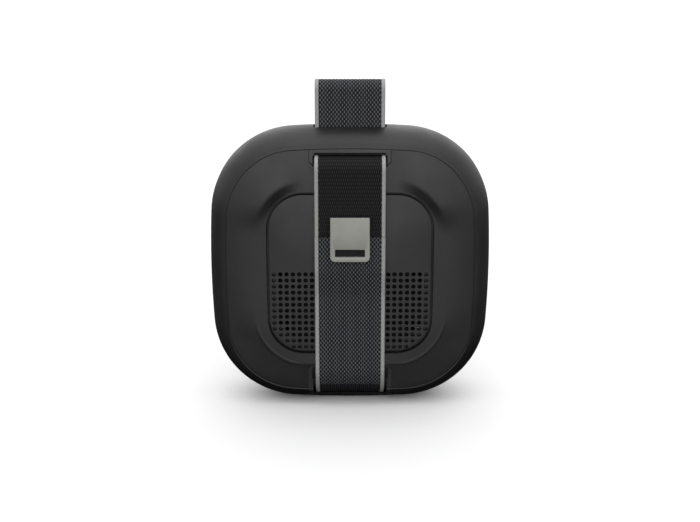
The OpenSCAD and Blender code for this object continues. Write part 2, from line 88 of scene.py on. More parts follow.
def new_object(name, verts, faces, smooth=35.0, uvs=None):
    """A mesh from face-frame points; uvs holds one pair per vertex."""
    mesh = bpy.data.meshes.new(name)
    mesh.from_pydata([place(*v) for v in verts], [], faces)
    if uvs is not None:
        layer = mesh.uv_layers.new(name="UVMap")
        index = np.zeros(len(mesh.loops), np.int32)
        mesh.loops.foreach_get("vertex_index", index)
        layer.data.foreach_set("uv", np.asarray(uvs, np.float32)[index].ravel())
    obj = bpy.data.objects.new(name, mesh)
    bpy.context.scene.collection.objects.link(obj)
    outward(obj)
    shade(obj, smooth)
    return obj


def outward(obj):
    bm = bmesh.new()
    bm.from_mesh(obj.data)
    bmesh.ops.recalc_face_normals(bm, faces=bm.faces)
    bm.to_mesh(obj.data)
    bm.free()


def shade(obj, angle):
    obj.data.polygons.foreach_set("use_smooth", [True] * len(obj.data.polygons))
    obj.data.set_sharp_from_angle(angle=math.radians(angle))


def paint(obj, material):
    obj.data.materials.clear()
    obj.data.materials.append(material)
    return obj


def combine(obj, tool, operation):
    """Applies a boolean of obj with tool, leaves a plain mesh and discards the tool."""
    mod = obj.modifiers.new("cut", "BOOLEAN")
    mod.operation = operation
    mod.solver = "EXACT"
    mod.object = tool
    bpy.context.view_layer.update()
    depsgraph = bpy.context.evaluated_depsgraph_get()
    mesh = bpy.data.meshes.new_from_object(obj.evaluated_get(depsgraph))
    obj.modifiers.clear()
    obj.data = mesh
    bpy.data.objects.remove(tool)


def tube_faces(rings, count, closed=False, caps=True):
    """Faces between rings of count points; closed joins the last ring to the first."""
    faces = []
    steps = rings if closed else rings - 1
    for i in range(steps):
        a, b = i * count, ((i + 1) % rings) * count
        for j in range(count):
            k = (j + 1) % count
            faces.append((a + j, a + k, b + k, b + j))
    if caps and not closed:
        faces.append(tuple(range(count - 1, -1, -1)))
        faces.append(tuple((rings - 1) * count + j for j in range(count)))
    return faces


def prism(name, outline, z0, z1, to_face=None):
    """A solid over a flat outline, from z0 to z1; to_face carries it to its place."""
    to_face = to_face or (lambda p: p)
    verts = [to_face((x, y, z)) for z in (z0, z1) for x, y in outline]
    return new_object(name, verts, tube_faces(2, len(outline)))


def join(objs):
    """Joins cutters that don't touch into one mesh."""
    mesh = bpy.data.meshes.new("joined")
    bm = bmesh.new()
    for o in objs:
        bm.from_mesh(o.data)
    bm.to_mesh(mesh)
    bm.free()
    for o in objs:
        bpy.data.objects.remove(o)
    joined = bpy.data.objects.new("joined", mesh)
    bpy.context.scene.collection.objects.link(joined)
    return joined


# ---------------------------------------------------------------- outlines

SIDE_STEPS = 28
CORNER_STEPS = 44


def body_outline():
    """(centre x, centre y, radius, angle) of each point of the bowed rounded square."""
    drop = SIDE_R - HALF
    ratio = drop / (SIDE_R - CORNER_R)
    phi = math.acos(ratio / math.sqrt(2)) - PI / 4
    c = (SIDE_R - CORNER_R) * math.sin(phi)
    points = []
    for q in range(4):
        turn = q * PI / 2
        cos, sin = math.cos(turn), math.sin(turn)
        corner = (c * cos - c * sin, c * sin + c * cos)
        side = (drop * sin, -drop * cos)
        for i in range(SIDE_STEPS):
            a = PI / 2 + phi - 2 * phi * (i + 0.5) / SIDE_STEPS
            points.append((*side, SIDE_R, a + turn, q, 1))
        for i in range(CORNER_STEPS):
            a = PI / 2 - phi - (PI / 2 - 2 * phi) * i / (CORNER_STEPS - 1)
            points.append((*corner, CORNER_R, a + turn, q, 0))
    points.sort(key=lambda p: math.atan2(p[1] + p[2] * math.sin(p[3]), p[0] + p[2] * math.cos(p[3])))
    return points, c, phi


OUTLINE, CORNER_C, BOW_ANGLE = body_outline()


def body_ring(inset):
    return [(cx + (r - inset) * math.cos(a), cy + (r - inset) * math.sin(a))
            for cx, cy, r, a, _, _ in OUTLINE]


def square_ring(half, radius):
    """A rounded square with as many points as body_ring, each near its partner."""
    c = half - radius
    ring = []
    for cx, cy, r, a, _, is_side in OUTLINE:
        x, y = cx + r * math.cos(a), cy + r * math.sin(a)
        if is_side:
            along = c * (y if abs(x) > abs(y) else x) / (SIDE_R * math.sin(BOW_ANGLE))
            if abs(x) > abs(y):
                ring.append((math.copysign(half, x), along))
            else:
                ring.append((along, math.copysign(half, y)))
        else:
            turn = math.atan2(abs(y) - CORNER_C, abs(x) - CORNER_C)
            share = (turn - BOW_ANGLE) / (PI / 2 - 2 * BOW_ANGLE)
            b = share * PI / 2
            ring.append((math.copysign(c + radius * math.cos(b), x),
                         math.copysign(c + radius * math.sin(b), y)))
    return ring


def rounded_rect(w, h, r, steps=8, at=(0, 0)):
    points = []
    for q, (sx, sy) in enumerate([(1, 1), (-1, 1), (-1, -1), (1, -1)]):
        for i in range(steps + 1):
            a = (q + i / steps) * PI / 2
            points.append((at[0] + sx * (w / 2 - r) + r * math.cos(a),
                           at[1] + sy * (h / 2 - r) + r * math.sin(a)))
    return points


def stadium(length, w, steps=14):
    points = []
    for side in (1, -1):
        for i in range(steps + 1):
            a = -PI / 2 + PI * i / steps + (0 if side > 0 else PI)
            points.append((side * (length - w) / 2 + w / 2 * math.cos(a), w / 2 * math.sin(a)))
    return points


def circle(r, steps, at=(0, 0)):
    return [(at[0] + r * math.cos(2 * PI * i / steps), at[1] + r * math.sin(2 * PI * i / steps))
            for i in range(steps)]


# ---------------------------------------------------------------- the back's relief

def outline_inset(x, y):
    """How far a point lies inside the body's outline."""
    x, y = np.abs(x), np.abs(y)
    drop = SIDE_R - HALF
    side = np.minimum(SIDE_R - np.hypot(x, y + drop), SIDE_R - np.hypot(y, x + drop))
    vx, vy = x - CORNER_C, y - CORNER_C
    angle = np.arctan2(vy, vx)
    corner = (vx > 0) & (vy > 0) & (angle > BOW_ANGLE) & (angle < PI / 2 - BOW_ANGLE)
    return np.where(corner, CORNER_R - np.hypot(vx, vy), side)


def smooth_min(a, b, k):
    h = np.clip(0.5 + 0.5 * (b - a) / k, 0, 1)
    return b * (1 - h) + a * h - k * h * (1 - h)


def smooth_step(low, high, t):
    s = np.clip((t - low) / (high - low), 0, 1)
    return s * s * (3 - 2 * s)


def corner_reach(x, y, centre):
    """Distance from a square's middle line, measured round corners struck from the centre."""
    ax, ay = np.abs(x), np.abs(y)
    over = np.hypot(np.maximum(ax - centre, 0), np.maximum(ay - centre, 0)) + centre
    return np.where((ax > centre) & (ay > centre), over, np.maximum(ax, ay))


SHELF_EDGE = 16.3          # inset at which the lower shelf starts to fall
SHELF_RUN = 14.6           # length of the upper shelf's fall, from the seam inwards
FALL_LOW = 0.199           # slope below the panel
FALL_HIGH = (0.235, 0.0058)   # slope above it and how fast that eases
FALL_SIDE = (0.02, 0.0172)    # slope at the sides and how fast it grows
PAD_RISE = (0.40, 0.0088)     # the same for the two upper pads
CREST = (15.3, 29.2, 3.3)  # upper pads' inner slope: corner centre, reach at its foot, width
CREST_ROUND, CREST_CURVE = 0.24, 1.2
LOW_CORNER = 14.7          # centre of the two lower corners
LOW_FLAT, LOW_EDGE = 28.4, 32.6
LOW_SLOPES = (0.05, 0.11)
BEAD = (0.11, 32.9, 0.45)  # height, reach and half width of the lower bead


def back_height(x, y):
    """Depth of the back plate's surface. It falls from a flat shelf round the panel to the
    seam: evenly above and below it, in a curve at its sides. The two upper corners rise to
    pads that fall into the dish; the two lower ones only carry a low bead."""
    x, y = np.asarray(x, float), np.asarray(y, float)
    d = np.maximum(outline_inset(x, y), SEAM)
    fall = np.maximum(SHELF_EDGE - d, 0)
    rise = d - SEAM
    low_even = PANEL_Z + 0.04 - FALL_LOW * fall
    run = np.minimum(rise, SHELF_RUN)
    high_even = SEAM_Z + FALL_HIGH[0] * run - FALL_HIGH[1] * run ** 2
    even = low_even + (high_even - low_even) * smooth_step(-4, 4, y)
    curved = PANEL_Z + 0.04 - FALL_SIDE[0] * fall - FALL_SIDE[1] * fall ** 2
    upright = smooth_step(-6, 6, np.abs(y) - np.abs(x))
    shelf = curved + (even - curved) * upright
    upper = smooth_step(14.5, 25.5, np.abs(x)) * smooth_step(14, 25.5, y)
    lower = smooth_step(12, 26, np.abs(x)) * smooth_step(12, 26, -y)
    high_pad = SEAM_Z + PAD_RISE[0] * rise - PAD_RISE[1] * rise ** 2
    reach = corner_reach(x, y, LOW_CORNER)
    near, past = LOW_SLOPES
    low_side = PANEL_Z + 0.06 - near * (reach - LOW_FLAT) - past * np.maximum(reach - LOW_EDGE, 0)
    low_side = smooth_min(low_side, SEAM_Z + 0.30 * rise, 0.3)
    height, at, half = BEAD
    bead = height * np.exp(-((reach - at) / half) ** 2) * smooth_step(0.1, 0.7, lower)
    centre, foot, width = CREST
    sink = np.clip((corner_reach(x, y, centre) - foot) / width, 0, None)
    sink = np.clip(smooth_min(sink, np.ones_like(sink), CREST_ROUND), 0, 1) ** CREST_CURVE
    return shelf + (high_pad - shelf) * upper * sink + (low_side - shelf) * lower + bead


# ---------------------------------------------------------------- materials

class Look:
    """A Principled material with helpers for its node tree."""

    def __init__(self, name, base, rough, metallic=0.0, **sockets):
        self.mat = bpy.data.materials.new(name)
        self.mat.use_nodes = True
        self.nodes = self.mat.node_tree.nodes
        self.links = self.mat.node_tree.links
        self.bsdf = self.nodes["Principled BSDF"]
        self.base, self.rough = base, rough
        self.set("Base Color", (*base, 1))
        self.set("Roughness", rough)
        self.set("Metallic", metallic)
        for key, value in sockets.items():
            self.set(key.replace("_", " "), value)

    def set(self, socket, value):
        self.bsdf.inputs[socket].default_value = value

    def node(self, kind, **settings):
        n = self.nodes.new(kind)
        for key, value in settings.items():
            setattr(n, key, value)
        return n

    def link(self, out, into):
        self.links.new(out, into)

    def coords(self):
        return self.node("ShaderNodeTexCoord").outputs["Object"]

    def noise(self, size_mm, detail=3.0, coords=None):
        n = self.node("ShaderNodeTexNoise")
        n.inputs["Scale"].default_value = 1000.0 / size_mm
        n.inputs["Detail"].default_value = detail
        self.link(coords or self.coords(), n.inputs["Vector"])
        return n.outputs["Fac"]

    def stretched(self, scales):
        """Object coordinates scaled apart along the axes, for brushed or drawn grain."""
        n = self.node("ShaderNodeMapping")
        n.inputs["Scale"].default_value = scales
        self.link(self.coords(), n.inputs["Vector"])
        return n.outputs["Vector"]

    def math(self, operation, a, b=None):
        n = self.node("ShaderNodeMath", operation=operation)
        for i, v in enumerate((a, b)):
            if v is None:
                continue
            if isinstance(v, (int, float)):
                n.inputs[i].default_value = v
            else:
                self.link(v, n.inputs[i])
        return n.outputs[0]

    def gloss(self, fac, low, high):
        """Roughness from low to high over a pattern's middle range."""
        n = self.node("ShaderNodeMapRange")
        for key, v in zip(("From Min", "From Max", "To Min", "To Max"), (0.3, 0.7, low, high)):
            n.inputs[key].default_value = v
        self.link(fac, n.inputs["Value"])
        self.link(n.outputs["Result"], self.bsdf.inputs["Roughness"])

    def colour(self, fac, stops):
        n = self.node("ShaderNodeValToRGB")
        ramp = n.color_ramp
        while len(ramp.elements) < len(stops):
            ramp.elements.new(0.5)
        for element, (at, rgb) in zip(ramp.elements, stops):
            element.position = at
            element.color = (*rgb, 1)
        self.link(fac, n.inputs["Fac"])
        self.link(n.outputs["Color"], self.bsdf.inputs["Base Color"])

    def tint(self, fac, vary):
        """The base colour, a little darker and lighter over a pattern."""
        low = tuple(c * (1 - vary) for c in self.base)
        high = tuple(min(1, c * (1 + vary)) for c in self.base)
        self.colour(fac, [(0.3, low), (0.7, high)])

    def bump(self, height, depth_mm):
        n = self.node("ShaderNodeBump")
        n.inputs["Distance"].default_value = depth_mm * MM
        n.inputs["Strength"].default_value = 1.0
        self.link(height, n.inputs["Height"])
        self.link(n.outputs["Normal"], self.bsdf.inputs["Normal"])

    def wear(self, patch_mm=14.0, vary=0.10, rough_vary=0.07, grain_mm=0.35, depth_mm=0.012):
        """Broad tone and gloss changes and a fine grain, which every moulded part has."""
        self.tint(self.noise(patch_mm), vary)
        self.gloss(self.noise(patch_mm * 0.6), self.rough - rough_vary, self.rough + rough_vary)
        self.bump(self.noise(grain_mm, 2.0), depth_mm)
        return self


def plain(name, base, rough, metallic=0.0, patch=14.0, vary=0.10, grain=0.35, depth=0.012,
          gloss=0.07, **sockets):
    return Look(name, base, rough, metallic, **sockets).wear(patch, vary, gloss, grain, depth).mat


def brushed(name, base, rough):
    look = Look(name, base, rough, 1.0)
    grain = look.noise(1000.0, 4.0, look.stretched((60, 1500, 1500)))
    look.tint(look.noise(6.0), 0.12)
    look.gloss(grain, rough - 0.1, rough + 0.12)
    look.bump(grain, 0.01)
    return look.mat


def ridges(look, axis, pitch_mm):
    n = look.node("ShaderNodeSeparateXYZ")
    look.link(look.coords(), n.inputs[0])
    swing = look.math("SINE", look.math("MULTIPLY", n.outputs[axis], 2 * PI / (pitch_mm * MM)))
    return look.math("ADD", look.math("MULTIPLY", swing, 0.5), 0.5)


def crossed_cloth(name, base, rough, pitch_mm, vary, depth_mm):
    look = Look(name, base, rough)
    cross = look.math("MULTIPLY", ridges(look, "X", pitch_mm), ridges(look, "Z", pitch_mm))
    look.tint(cross, vary)
    look.bump(cross, depth_mm)
    return look.mat


def circuit_board():
    look = Look("circuit_board", (0.014, 0.105, 0.045), 0.32)
    lines = look.math("MULTIPLY", ridges(look, "X", 1.6), look.noise(5.0))
    look.colour(lines, [(0.34, (0.010, 0.085, 0.035)), (0.42, (0.030, 0.150, 0.065))])
    look.gloss(look.noise(4.0), 0.24, 0.42)
    look.bump(lines, 0.03)
    return look.mat


def coil_wire():
    look = Look("coil_wire", (0.45, 0.20, 0.08), 0.35, 1.0)
    turns = ridges(look, "Y", 0.3)
    look.tint(turns, 0.45)
    look.bump(turns, 0.08)
    return look.mat


def uv_parts(look):
    n = look.node("ShaderNodeUVMap", uv_map="UVMap")
    parts = look.node("ShaderNodeSeparateXYZ")
    look.link(n.outputs[0], parts.inputs[0])
    return parts.outputs["X"], parts.outputs["Y"]


def fibres(look):
    """Fine irregular strands along the webbing."""
    n = look.node("ShaderNodeUVMap", uv_map="UVMap")
    mapping = look.node("ShaderNodeMapping")
    mapping.inputs["Scale"].default_value = (9.0, 1.6, 1.0)
    look.link(n.outputs[0], mapping.inputs["Vector"])
    noise = look.node("ShaderNodeTexNoise")
    noise.inputs["Scale"].default_value = 1.0
    noise.inputs["Detail"].default_value = 3.0
    look.link(mapping.outputs[0], noise.inputs["Vector"])
    return noise.outputs["Fac"]


COARSE_PITCH = (1.275, 1.63)
FINE_PITCH = (0.74, 2.59)
RIB_PITCH = 0.74
ROW_PITCH = 1.27


def swell(look, along, pitch):
    return look.math("COSINE", look.math("MULTIPLY", along, 2 * PI / pitch))


def woven(name, pitch, hole, body, float_, rough, depth, rib, row):
    """Crossing yarns: a lattice of dark gaps and pale floats, with finer ribs along the strap
    and rows across it."""
    look = Look(name, body, rough)
    u, v = uv_parts(look)
    crossed = look.math("MULTIPLY", swell(look, u, pitch[0]), swell(look, v, pitch[1]))
    centred = look.math("MULTIPLY", crossed, 0.5)
    pattern = look.math("ADD", centred, 0.5)
    ribs = look.math("MULTIPLY", swell(look, u, RIB_PITCH), rib)
    strands = fibres(look)
    uneven = look.math("MULTIPLY", look.math("SUBTRACT", strands, 0.5), 0.35)
    rows = look.math("MULTIPLY", swell(look, v, ROW_PITCH), row)
    mixed = look.math("ADD", look.math("ADD", pattern, rows), look.math("ADD", ribs, uneven))
    look.colour(mixed, [(0.10, float_), (0.48, body), (0.78, hole)])
    look.gloss(strands, rough - 0.1, rough + 0.1)
    look.set("Specular IOR Level", 0.15)
    look.bump(look.math("SUBTRACT", look.math("MULTIPLY", strands, 0.5), pattern), depth)
    return look.mat


def ribbed_band():
    look = Look("ribbed_band", (0.016, 0.016, 0.018), 0.75)
    u, _ = uv_parts(look)
    ribs = look.math("MULTIPLY_ADD", swell(look, u, RIB_PITCH), 0.5)
    ribs.node.inputs[2].default_value = 0.5
    look.colour(ribs, [(0.2, (0.006, 0.006, 0.007)), (0.9, (0.026, 0.026, 0.029))])
    look.set("Specular IOR Level", 0.2)
    look.bump(ribs, 0.08)
    return look.mat


def edge_trim():
    look = Look("edge_trim", (0.31, 0.31, 0.30), 0.5)
    strands = fibres(look)
    look.tint(strands, 0.10)
    look.gloss(strands, 0.42, 0.6)
    look.bump(strands, 0.03)
    return look.mat


def hook_finish():
    look = Look("hook_finish", (0.30, 0.30, 0.275), 0.42)
    grain = look.noise(1000.0, 3.0, look.stretched((1800, 1800, 120)))
    look.tint(look.noise(5.0), 0.05)
    look.gloss(grain, 0.36, 0.5)
    look.bump(grain, 0.006)
    return look.mat


def build_materials():
    return {
        "jacket": plain("soft_jacket", (0.011, 0.011, 0.0115), 0.46, patch=22, vary=0.10,
                        grain=0.22, depth=0.010),
        "keys": plain("key_rubber", (0.026, 0.026, 0.028), 0.5, patch=6, grain=0.22, depth=0.008),
        "back_shell": plain("back_shell", (0.012, 0.012, 0.0122), 0.44, patch=20, vary=0.08,
                            grain=0.2, depth=0.008),
        "vent": plain("vent_plastic", (0.012, 0.012, 0.0122), 0.44, patch=16, vary=0.08,
                      grain=0.2, depth=0.008),
        "grille": plain("powder_coat", (0.028, 0.028, 0.030), 0.55, grain=0.18, depth=0.02),
        "cloth": crossed_cloth("acoustic_cloth", (0.010, 0.010, 0.011), 0.9, 0.35, 0.5, 0.05),
        "housing": plain("housing_plastic", (0.020, 0.020, 0.022), 0.55, grain=0.5, depth=0.02),
        "bezel": plain("bezel_plastic", (0.022, 0.022, 0.023), 0.48, patch=8, grain=0.25, depth=0.008),
        # painted shade: near-black paint for places that only lie in shade (slot wall, channel floor,
        # strap end, behind the hook's window)
        "painted_shade": plain("painted_shade_black", (0.004, 0.004, 0.004), 0.65, patch=5, vary=0.2,
                       Specular_IOR_Level=0.3),
        "gasket": plain("foam_rubber", (0.015, 0.015, 0.016), 0.8, grain=0.4, depth=0.04),
        "tail_weave": woven("fine_weave", FINE_PITCH, (0.003, 0.003, 0.003), (0.009, 0.009, 0.0095),
                            (0.026, 0.026, 0.027), 0.7, 0.06, 0.0, 0.16),
        "coarse_weave": woven("coarse_weave", COARSE_PITCH, (0.003, 0.003, 0.004), (0.027, 0.028, 0.030),
                              (0.115, 0.120, 0.128), 0.65, 0.10, 0.14, 0.0),
        "band": ribbed_band(),
        "trim": edge_trim(),
        "hook": hook_finish(),
        "hardware": brushed("brushed_steel", (0.45, 0.45, 0.46), 0.35),
        "basket": plain("basket_paint", (0.05, 0.05, 0.055), 0.4, grain=0.3, depth=0.01),
        "magnet_iron": plain("zinc_plate", (0.50, 0.51, 0.53), 0.38, 1.0, patch=5, vary=0.15,
                             grain=0.8, depth=0.01),
        "coil": coil_wire(),
        "spider_cloth": crossed_cloth("resin_cloth", (0.45, 0.30, 0.12), 0.75, 0.5, 0.3, 0.08),
        "cone": plain("treated_paper", (0.018, 0.018, 0.020), 0.7, patch=4, vary=0.2,
                      grain=0.6, depth=0.04),
        "radiator_plate": brushed("satin_aluminium", (0.30, 0.31, 0.33), 0.4),
        "battery_wrap": plain("battery_film", (0.05, 0.11, 0.26), 0.25, patch=9, vary=0.12,
                              grain=2.5, depth=0.05, gloss=0.05),
        "board": circuit_board(),
        "chips": plain("chip_resin", (0.012, 0.012, 0.013), 0.5, patch=3, grain=0.3, depth=0.01),
        "contacts": plain("nickel", (0.58, 0.58, 0.60), 0.3, 1.0, patch=3, vary=0.08,
                          grain=0.5, depth=0.004),
        "light_guide": plain("light_guide", (0.75, 0.74, 0.68), 0.28, patch=2, vary=0.08,
                             grain=0.2, depth=0.006, gloss=0.05, Transmission_Weight=0.35),
    }


LOOKS = build_materials()


def paint_cad_nodes():
    for part in frame["record"]["subparts"]:
        paint(NODES[part["node"]], LOOKS[part["material_slot"]])


def lift_top(obj):
    """Raise the body's top behind its keys, and what sits in it, above the CAD's."""
    co = np.empty(3 * len(obj.data.vertices))
    obj.data.vertices.foreach_get("co", co)
    co = co.reshape(-1, 3)
    height, depth = co[:, 2] / MM - CENTRE_Z, -co[:, 1] / MM
    co[:, 2] += LIFT * MM * smooth_step(29, 40, height) * smooth_step(-11.5, -6.5, depth)
    obj.data.vertices.foreach_set("co", co.ravel())
    obj.data.update()


def finish_piece(obj, slot, body, *nodes):
    if body == "speaker":
        lift_top(obj)
    paint(obj, LOOKS[slot])
    if nodes:
        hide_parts(*nodes)
    if body:
        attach(obj, body)
    return obj


# ---------------------------------------------------------------- jacket and its openings

def rim_point(inset_r, angle, front):
    """Inset and depth of the rim's section at an angle from its outermost point."""
    depth = -inset_r if front else inset_r + RIM_EXTRA
    return RIM_R - inset_r * math.cos(angle), RIM_Z + depth * math.sin(angle)


def jacket_section(step):
    """(inset, depth) round the jacket's wall: seam edge, outside, front lip, inside. step
    scales the small rebate along the seam."""
    seam = math.acos((RIM_R - SEAM) / RIM_R)
    lip = math.acos((RIM_R - WINDOW) / RIM_R)
    ridge = seam - 0.085
    rebate = [(0.17, seam), (0.10, seam - 0.008), (0.10, ridge + 0.012), (0.02, ridge + 0.002)]
    points = [rim_point(RIM_R - cut * step, angle, False) for cut, angle in rebate]
    points += [rim_point(RIM_R, ridge * (1 - i / 14), False) for i in range(1, 15)]
    points += [rim_point(RIM_R, lip * i / 18, True) for i in range(18)]
    points += [rim_point(RIM_R - 0.12, lip, True), rim_point(RIM_R - 0.45, lip + 0.022, True)]
    inner = RIM_R - WALL
    inner_lip = math.acos((RIM_R - WINDOW - 0.1) / inner)
    points += [rim_point(inner, inner_lip * (1 - i / 10), True) for i in range(11)]
    inner_seam = math.acos((RIM_R - SEAM) / inner)
    points += [rim_point(inner, inner_seam * i / 8, False) for i in range(9)]
    points += [rim_point(RIM_R - 0.5, seam + 0.012, False)]
    return points


def flat_base(z):
    return max(z, -CENTRE_Z)


def jacket_solid():
    sections = [jacket_section(0.1), jacket_section(1.0)]
    low, high = [[body_ring(inset) for inset, _ in section] for section in sections]
    verts = []
    for i in range(len(OUTLINE)):
        share = float(smooth_step(-35, 10, low[0][i][1]))
        for a, b, (_, za), (_, zb) in zip(low, high, *sections):
            x, y = (a[i][k] + (b[i][k] - a[i][k]) * share for k in (0, 1))
            verts.append((x, flat_base(y), za + (zb - za) * share))
    return new_object("jacket", verts, tube_faces(len(OUTLINE), len(sections[0]), closed=True))


def key_frame(tilt_deg, side=None, along=0.0):
    """From a key's own frame to the face frame. side is a height on the left side wall."""
    t = math.radians(tilt_deg)
    sunk = SIDE_R - math.sqrt(SIDE_R ** 2 - (side if side is not None else along) ** 2)

    def top(p):
        x, y, z = p[0], p[1], p[2] + RIM_R
        a = -PI / 2 - t
        return (x + along, HALF - sunk - RIM_R + y * math.cos(a) - z * math.sin(a),
                RIM_Z + y * math.sin(a) + z * math.cos(a))

    def left(p):
        u, v, w = -p[1], p[0], p[2] + RIM_R
        a = -PI / 2 - t
        return (-HALF + sunk + RIM_R + u * math.cos(a) + w * math.sin(a), side + v,
                RIM_Z - u * math.sin(a) + w * math.cos(a))

    return left if side is not None else top


KEY_TILT = 46.7
KEY_W = 5.0
KEY_GAP = 0.3
KEYS = [("volume_up", "volume_up_button", None, -16.0, 9.0, "plus"),
        ("play", "play_button", None, 0.0, 8.0, "play"),
        ("volume_down", "volume_down_button", None, 16.0, 9.0, "minus"),
        ("power", "power_button", 15.0, 0.0, 8.0, "ring"),
        ("pairing", "pairing_button", 1.0, 0.0, 8.0, "dots")]
FLAP_Y, FLAP_LEN, FLAP_Z, FLAP_W = -16.0, 13.0, -6.5, 7.0


def box_prism(name, x0, x1, y0, y1, z0, z1, r=0.0):
    if r:
        return prism(name, rounded_rect(x1 - x0, y1 - y0, r, 6, ((x0 + x1) / 2, (y0 + y1) / 2)), z0, z1)
    return prism(name, [(x0, y0), (x1, y0), (x1, y1), (x0, y1)], z0, z1)


def channel_window(grow):
    """Outline of the insert that the strap's channel is cut in."""
    w, top = 14.75 + grow, -33.2 + grow
    outline = [(-w, -60), (w, -60), (w, top - 1.5), (w - 1.5, top), (-w + 1.5, top), (-w, top - 1.5)]
    return prism("channel_window", outline, 0.4, 20)


def channel_cut():
    """Room for the strap where it bends over the bottom rim."""
    (cy, cz), gap, foot, mouth, lip, half = BEND, 0.15, 1.54, 1.25, 3.6, 12.95
    r = BEND_R - STRAP_T - gap
    outline = [(cy - r * math.sin(a), cz + r * math.cos(a)) for a in np.linspace(0, foot, 40)]
    r = BEND_R + gap
    outline += [(cy - r * math.sin(a), cz + r * math.cos(a)) for a in np.linspace(foot, mouth, 8)]
    y, z = outline[-1]
    outline += [(y - lip, z - lip), (-70, z - lip), (-70, 40), (cy, 40)]
    return prism("channel_cut", outline, -half, half, lambda p: (p[2], p[0], p[1]))


def jacket_cutters():
    slot = rounded_rect(25.2, 7.9, 0.8, 6, (0, -2.55))
    cutters = [prism("top_slot", slot, 36, 56, lambda p: (p[0], p[2], p[1]))]
    cutters.append(channel_window(0.0))
    for _, _, side, along, length, _ in KEYS:
        cutters.append(prism("key_hole", stadium(length + 2 * KEY_GAP, KEY_W + 2 * KEY_GAP), -2.9, 4,
                             key_frame(KEY_TILT, side, along)))
    for i in range(-2, 3):
        cutters.append(prism("pipe_hole", circle(0.65, 16), -3, 2, key_frame(64, None, i * 3.0)))
    return join(cutters)


def flap_block(grow, low=0.0, high=0.0):
    y0, y1 = FLAP_Y - FLAP_LEN / 2 - grow + low, FLAP_Y + FLAP_LEN / 2 + grow - high
    z0, z1 = FLAP_Z - FLAP_W / 2 - grow, FLAP_Z + FLAP_W / 2 + grow
    outline = rounded_rect(y1 - y0, z1 - z0, 1.2, 6, ((y0 + y1) / 2, (z0 + z1) / 2))
    return prism("flap_block", outline, -HALF - 2, -HALF + 8, lambda p: (p[2], p[0], p[1]))


def twin(obj, name):
    other = obj.copy()
    other.data = obj.data.copy()
    other.name = name
    bpy.context.scene.collection.objects.link(other)
    return other


def keep_inside(obj, tool):
    combine(obj, tool, "INTERSECT")


def cut_away(obj, tool):
    combine(obj, tool, "DIFFERENCE")


def build_jacket():
    jacket = jacket_solid()
    flap = twin(jacket, "port_flap_skin")
    insert = twin(jacket, "channel_rim")
    keep_inside(insert, channel_window(-0.07))
    cut_away(insert, channel_cut())
    shade(insert, 30)
    finish_piece(insert, "bezel", "speaker")
    cut_away(jacket, join([jacket_cutters(), flap_block(0.3)]))
    keep_inside(flap, flap_block(0.0, 1.0, 0.4))
    shade(jacket, 30)
    shade(flap, 30)
    finish_piece(jacket, "jacket", "speaker", "silicone_jacket")
    finish_piece(flap, "jacket", "flap", "port_flap")
    plug = prism("port_flap_plug", rounded_rect(6.8, 1.8, 0.8, 5, (FLAP_Y, FLAP_Z)),
                 -HALF + 1.7, -HALF + 5.1, lambda p: (p[2], p[0], p[1]))
    finish_piece(plug, "jacket", "flap")


# ---------------------------------------------------------------- back plate, panel, bezels

RECESS_HALF, RECESS_R = 28.5, 12.7
PLATE_EDGE = 6.33
# the plate's inner side as (share of the recess's edge, depth); it stands clear of the radiator
PLATE_INSIDE = [(1.14, 9.4), (1.14, 11.1), (0.885, 11.1), (0.885, 11.5), (1.0, 11.5)]


def plate_solid():
    """The back plate as a ring between its outer edge and the panel's recess."""
    outer, inner = body_ring(PLATE_EDGE), square_ring(RECESS_HALF, RECESS_R)
    rings = 64
    verts = []
    for (ox, oy), (ix, iy) in zip(outer, inner):
        share = [0.0, 0.006, 0.016]
        share += [0.016 + 0.968 * (i / rings) for i in range(1, rings)]
        share += [0.984, 0.994, 1.0]
        xs = np.array([ix + (ox - ix) * s for s in share])
        ys = np.array([iy + (oy - iy) * s for s in share])
        zs = back_height(xs, ys)
        step = -0.25 + 1.25 * smooth_step(-35, 10, oy)
        zs[0] -= 0.26 * step
        zs[1] -= 0.07 * step
        zs[-1] -= 0.22
        zs[-2] -= 0.06
        verts += [*zip(xs, ys, zs), (ox, oy, PLATE_INSIDE[0][1])]
        verts += [(ix * out, iy * out, z) for out, z in PLATE_INSIDE]
    faces = tube_faces(len(outer), len(verts) // len(outer), closed=True)
    return new_object("back_plate", verts, faces, 28)


def top_window(grow):
    w, low = 13.9 + grow, 37.1 - grow
    outline = [(-w, 46), (-w, low + 1.5), (-w + 1.5, low), (w - 1.5, low), (w, low + 1.5), (w, 46)]
    return prism("top_window", outline, 5, 20)


def build_back_plate():
    plate = plate_solid()
    bezel = twin(plate, "slot_bezel")
    insert = twin(plate, "channel_cheeks")
    cut_away(plate, join([top_window(0.0), channel_window(0.0)]))
    keep_inside(bezel, top_window(-0.16))
    cut_away(bezel, box_prism("slot", -12.6, 12.6, 36.0, 41.62, 0, 30, 1.1))
    keep_inside(insert, channel_window(-0.07))
    cut_away(insert, channel_cut())
    for obj in (plate, bezel, insert):
        shade(obj, 28)
    finish_piece(plate, "back_shell", "speaker", "rear_plate")
    finish_piece(bezel, "bezel", "speaker", "top_slot_bezel")
    finish_piece(insert, "bezel", "speaker")


